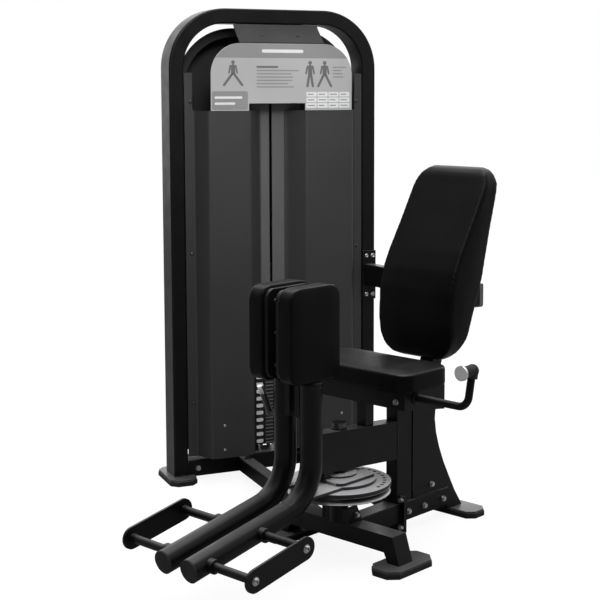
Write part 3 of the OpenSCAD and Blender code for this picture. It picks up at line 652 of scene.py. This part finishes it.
def add_placard_print():
    """Generic print on the instruction board: a band, figures, plain lines and a table."""
    face = TOWER @ Matrix.Translation((0.117, 0, 0)) @ FRONT
    band, lines, mid, light = bmesh.new(), bmesh.new(), bmesh.new(), bmesh.new()
    low = math.asin(57 / 104)
    arcs = [low + (math.pi / 2 - low) * k / 10 for k in range(11)]
    right = [(151 + 104 * math.cos(a), 1397 + 104 * math.sin(a)) for a in arcs]
    slab(band, right + [(-x, y) for x, y in reversed(right)], face, -0.2, 0.25)
    slab(band, block(-252, 1281, -126, 1343, 6), face, -0.2, 0.25)
    slab(light, capsule(-70, 1477, 70, 1477, 5.5), face, 0, 0.5)
    for y, end in ((1322, -150), (1302, -175)):
        slab(light, capsule(-240, y, end, y, 4), face, 0, 0.5)
    person(lines, face, -178, 1402, 84, 32, (-0.2, 0.3))
    person(lines, face, 100, 1400, 88, 10, (-0.2, 0.3))
    person(lines, face, 154, 1400, 88, 24, (-0.2, 0.3))
    slab(lines, capsule(-92, 1424, -20, 1424, 3.2), face, -0.2, 0.3)
    for k in range(6):
        y = 1412 - 11 * k
        slab(mid, capsule(-93, y, 58 - (29 * k * k) % 47, y, 2.1), face, -0.2, 0.3)
    for k in range(4):
        y = 1424 - 11 * k
        slab(mid, capsule(186, y, 232 - (17 * k) % 21, y, 2.1), face, -0.2, 0.3)
    for i in range(4):
        for j in range(3):
            x, y = 86 + 41 * i, 1324 - 19 * j
            slab(light, block(x, y, x + 38, y + 16, 1.5), face, -0.2, 0.3)
            slab(mid, capsule(x + 6, y + 8, x + 24 + 3 * ((i + j) % 3), y + 8, 1.7), face, 0, 0.5)
    finish_mesh("placard_band", band, "print_mid", "base")
    finish_mesh("placard_lines", lines, "print_dark", "base")
    finish_mesh("placard_text_lines", mid, "print_mid", "base")
    finish_mesh("placard_table", light, "print_light", "base")


STACK_BOTTOM, PLATE_PITCH = 103, 25.4


def add_plate_labels():
    """A white label and two ridges beside the pin hole on every plate, and the slot guards' lower ends."""
    face = TOWER @ Matrix.Translation((0.028, 0, 0)) @ FRONT
    groups = ("resting_labels", "base", 0, 15), ("lifted_labels", "lifted_stack", 15, 5)
    for name, body, first, count in groups:
        white, marks = bmesh.new(), bmesh.new()
        for i in range(first, first + count):
            z = STACK_BOTTOM + PLATE_PITCH * i + 12.5
            slab(white, block(-70, z - 6, -45, z + 7, 4), face, -0.2, 0.5)
            for ridge in (-6.5, 5.5):
                slab(marks, block(-36, z + ridge - 2.5, -7, z + ridge + 2.5, 1), face, -0.2, 0.4)
        finish_mesh(name, white, "print_light", body)
        finish_mesh(name + "_ridges", marks, "print_dark", body)
    tails = bmesh.new()
    for left, right in ((-66, -25), (-15, 40)):
        behind = TOWER @ Matrix.Translation((0.0471, 0, 0)) @ FRONT
        slab(tails, block(left, 662, right, 712.5, 2), behind, 0, 1.8)
    finish_mesh("guard_tails", tails, "grey_guard", "base")


# turned parts as (r, z): a peg bolt's washer, the collar that closes the top of an arm's tube from
# 520 mm up, the collar round a handle where it leaves the tray, and a hex bolt's head on its washer
WASHER = [(0, 0), (11.5, 0), (11.5, 1.6), (10, 1.9), (0, 1.9)]
COLLAR = [(0, 14), (31.8, 14), (31.8, 16), (32.4, 17), (32.4, 29), (31.4, 31), (29, 32), (0, 32)]
HANDLE_COLLAR = [(0, 0), (18, 0), (18, 4), (15, 6), (0, 6)]
HEX_HEAD = [(0, 0), (9, 0), (9, 2), (6.5, 2), (6.5, 9), (0, 9)]


def add_arm_hardware():
    """Bolts and weld beads at the ends of the pegs, the pads' screws and collars, and the lever's knob."""
    slope = math.tan(math.radians(11))  # of the tubes that carry the pegs
    for side, s in (("left", 1), ("right", -1)):
        bolts, welds, dark, collar = bmesh.new(), bmesh.new(), bmesh.new(), bmesh.new()
        for y in (-1120, -938):
            z = 136 + (y + 1167) * slope
            lathe(bolts, WASHER, facing((s * 241, y, z), (s, 0, 0), SEAT), 24)
            lathe(bolts, dome(9), facing((s * 242.8, y, z), (s, 0, 0), SEAT), 24)
            angles = [math.pi * k / 10 for k in range(21)]
            ring = [(s * 226.4, y + 13 * math.cos(a), z + 13 * math.sin(a)) for a in angles]
            bead(welds, ring, SEAT, 1.8, 2.2)
        for z in (600, 690, 780):
            for y in (-790, -672):
                lathe(dark, dome(5), facing((s * 15.8, y, z), (-s, 0, 0), SEAT), 16)
        lathe(collar, COLLAR, facing((s * 50, -718, 520), (0, 0, 1), SEAT), 48)
        finish_mesh(side + "_pad_screws", dark, "dark_screw", side + "_arm")
        finish_mesh(side + "_pad_collar", collar, "black_frame", side + "_arm")
        finish_mesh(side + "_arm_bolts", bolts, "plated_steel", side + "_arm")
        finish_mesh(side + "_arm_welds", welds, "black_frame", side + "_arm")
    knob = bmesh.new()
    lathe(knob, [(0, -16), (8, -16), (9.6, -14), (9.6, 8), (8.6, 10), (0, 10.5)],
          facing((-112, -752, 514), (0, -34, 73), SEAT), 24)
    finish_mesh("lever_knob", knob, "bare_aluminium", "release_lever")


def add_welds():
    """Weld beads where the frame's members meet."""
    welds = bmesh.new()
    top = 386 - 340 * math.tan(math.radians(4.7))  # of the pivot beam, where it meets the post
    bottom = top - 115
    for s in (-1, 1):
        bead(welds, [(s * 24.5, -315.5, bottom + 3), (s * 24.5, -315.5, top - 3)], SEAT)
        bead(welds, [(s * 29, -505, 52), (s * 29, -505, 100)], SEAT)
        bead(welds, [(s * 22, -306, 103.5), (s * 22, -250, 103.5)], SEAT)
        bead(welds, [(s * 25, -228, 103.5), (s * 25, -110, 103.5)], SEAT)
        bead(welds, [(s * 23, -240, 130), (s * 23, -240, 420)], SEAT)
        bead(welds, [(s * 42, -563, 108.5), (s * 42, -530, 108.5)], SEAT)
        bead(welds, [(s * 237, -564, 31), (s * 237, -507, 31)], SEAT)
    for v in (-130, 130):
        bead(welds, [(46, v - 23, 35), (46, v - 23, 76), (46, v + 23, 76), (46, v + 23, 35)], TOWER)
    for v in (-353, 353):
        bead(welds, [(51, v - 22, 31), (51, v + 22, 31)], TOWER)
        inner = v - math.copysign(26, v)
        bead(welds, [(46, inner, 28), (46, inner, 76)], TOWER)
    bead(welds, [(17.5, -452.5, 368), (17.5, -417.5, 365)], SEAT)
    bead(welds, [(60, -312.5, 443), (-60, -312.5, 443)], SEAT, 1.8)
    finish_mesh("frame_welds", welds, "black_frame", "base")


def add_frame_hardware():
    """Plug in the brace's end, collars at the handles, gusset bolts and the brace plate's bolts."""
    start, end = Vector((-577, 246, 690)), Vector((2, 112.6, 690))
    along = (end - start).normalized()
    plug = bmesh.new()
    matrix = SEAT @ Matrix.Translation(end * MM) @ Matrix((
        (along.y, 0, along.x, 0), (-along.x, 0, along.y, 0), (0, 1, 0, 0), (0, 0, 0, 1)))
    slab(plug, block(-20, -38, 20, 38, 7), matrix, 0.2, 4)
    slab(plug, block(-17.5, -35.5, 17.5, 35.5, 6), matrix, 3.5, 7)
    finish_mesh("brace_plug", plug, "end_plug", "base")

    bolts, collars = bmesh.new(), bmesh.new()
    for s in (-1, 1):
        lathe(collars, HANDLE_COLLAR, facing((s * 200, -446, 483), (s, 0, 0), SEAT), 28)
        lathe(bolts, HEX_HEAD, facing((s * 52, -532, 130), (s, 0, 0), SEAT), 6)
    for v in (-22, 22):
        for z in (618, 757):
            lathe(bolts, dome(8), facing((58, 353 + v * 0.55, z), (1, 0, 0), TOWER), 20)
    finish_mesh("frame_buttons", bolts, "plated_steel", "base")
    finish_mesh("handle_collars", collars, "black_frame", "base")


# ---------------------------------------------------------------- light and floor


# name: place, target, width and height in metres, power in watts, and spread in degrees if it is narrowed
LAMPS = {
    "top_light": ((0.2, -0.6, 3.6), (-0.3, -0.4, 0.5), (2.6, 2.6), 48),
    "side_light": ((3.4, 0.6, 2.0), (0.0, -0.3, 0.7), (0.8, 2.6), 7),
    "front_light": ((0.6, -4.2, 2.2), (-0.5, 0.0, 0.8), (2.0, 2.0), 6.5),
    "tower_light": ((1.2, -1.6, 2.6), (-0.75, -0.1, 1.3), (0.9, 0.9), 5, 60),
}
SKY_AXIS = (-0.6, 0.68, 0.42)
SKY_FROM, SKY_TO = (-0.05, 0.85), (0.02, 1.5)
FLOOR_SIZE, FLOOR_GLOW = 14, 0.9


def area_light(name, place, target, size, power, spread=None):
    data = bpy.data.lights.new(name, "AREA")
    data.shape = "RECTANGLE"
    data.size, data.size_y = size
    data.energy = power
    if spread:
        data.spread = math.radians(spread)
    obj = bpy.data.objects.new(name, data)
    obj.location = place
    aim(obj, Vector(target) - Vector(place))
    bpy.context.scene.collection.objects.link(obj)


def add_sky():
    """White for the camera, and a sky that is bright behind the machine for everything else."""
    world = bpy.data.worlds.new("studio")
    world.use_nodes = True
    nodes, join = world.node_tree.nodes, world.node_tree.links.new
    back = nodes["Background"]
    away = nodes.new("ShaderNodeVectorMath")
    away.operation = "DOT_PRODUCT"
    away.inputs[1].default_value = SKY_AXIS
    join(nodes.new("ShaderNodeTexCoord").outputs["Generated"], away.inputs[0])
    sky = nodes.new("ShaderNodeMapRange")
    for key, value in enumerate(SKY_FROM + SKY_TO, 1):
        sky.inputs[key].default_value = value
    join(away.outputs["Value"], sky.inputs[0])
    path = nodes.new("ShaderNodeLightPath")
    pick = nodes.new("ShaderNodeMix")
    join(path.outputs["Is Camera Ray"], pick.inputs[0])
    join(sky.outputs[0], pick.inputs[2])
    pick.inputs[3].default_value = 1.0
    join(pick.outputs[0], back.inputs[1])
    back.inputs[0].default_value = (1, 1, 1, 1)
    bpy.context.scene.world = world


def add_floor():
    """A floor that the camera sees as white with soft shadows, and that bounces grey light."""
    bm = bmesh.new()
    bmesh.ops.create_grid(bm, x_segments=1, y_segments=1, size=FLOOR_SIZE)
    mesh = bpy.data.meshes.new("floor")
    bm.to_mesh(mesh)
    bm.free()
    floor = bpy.data.objects.new("floor", mesh)
    bpy.context.scene.collection.objects.link(floor)
    g = Graph("floor")
    join = g.tree.links.new
    g.set(Base_Color=(0.32, 0.32, 0.32, 1), Roughness=0.8)
    glow = g.add("ShaderNodeEmission", {"Color": (1, 1, 1, 1), "Strength": FLOOR_GLOW})
    shade = g.add("ShaderNodeBsdfDiffuse", {"Color": (0.9, 0.9, 0.9, 1)})
    seen = g.add("ShaderNodeAddShader")
    soft = g.add("ShaderNodeMixShader", {0: 0.8})
    dark = g.add("ShaderNodeBsdfDiffuse", {"Color": (0, 0, 0, 1)})
    join(shade.outputs[0], soft.inputs[1])
    join(dark.outputs[0], soft.inputs[2])
    join(glow.outputs[0], seen.inputs[0])
    join(soft.outputs[0], seen.inputs[1])
    choose = g.add("ShaderNodeMixShader", {0: g.add("ShaderNodeLightPath").outputs["Is Camera Ray"]})
    join(g.shader.outputs[0], choose.inputs[1])
    join(seen.outputs[0], choose.inputs[2])
    join(choose.outputs[0], g.out.inputs[0])
    mesh.materials.append(g.material)


def add_studio():
    add_sky()
    bpy.context.scene.view_settings.view_transform = "Standard"
    for name, lamp in LAMPS.items():
        area_light(name, *lamp)
    add_floor()


add_camera()
dress_frame()
add_pads()
add_screws()
add_placard_print()
add_plate_labels()
add_arm_hardware()
add_welds()
add_frame_hardware()
add_studio()
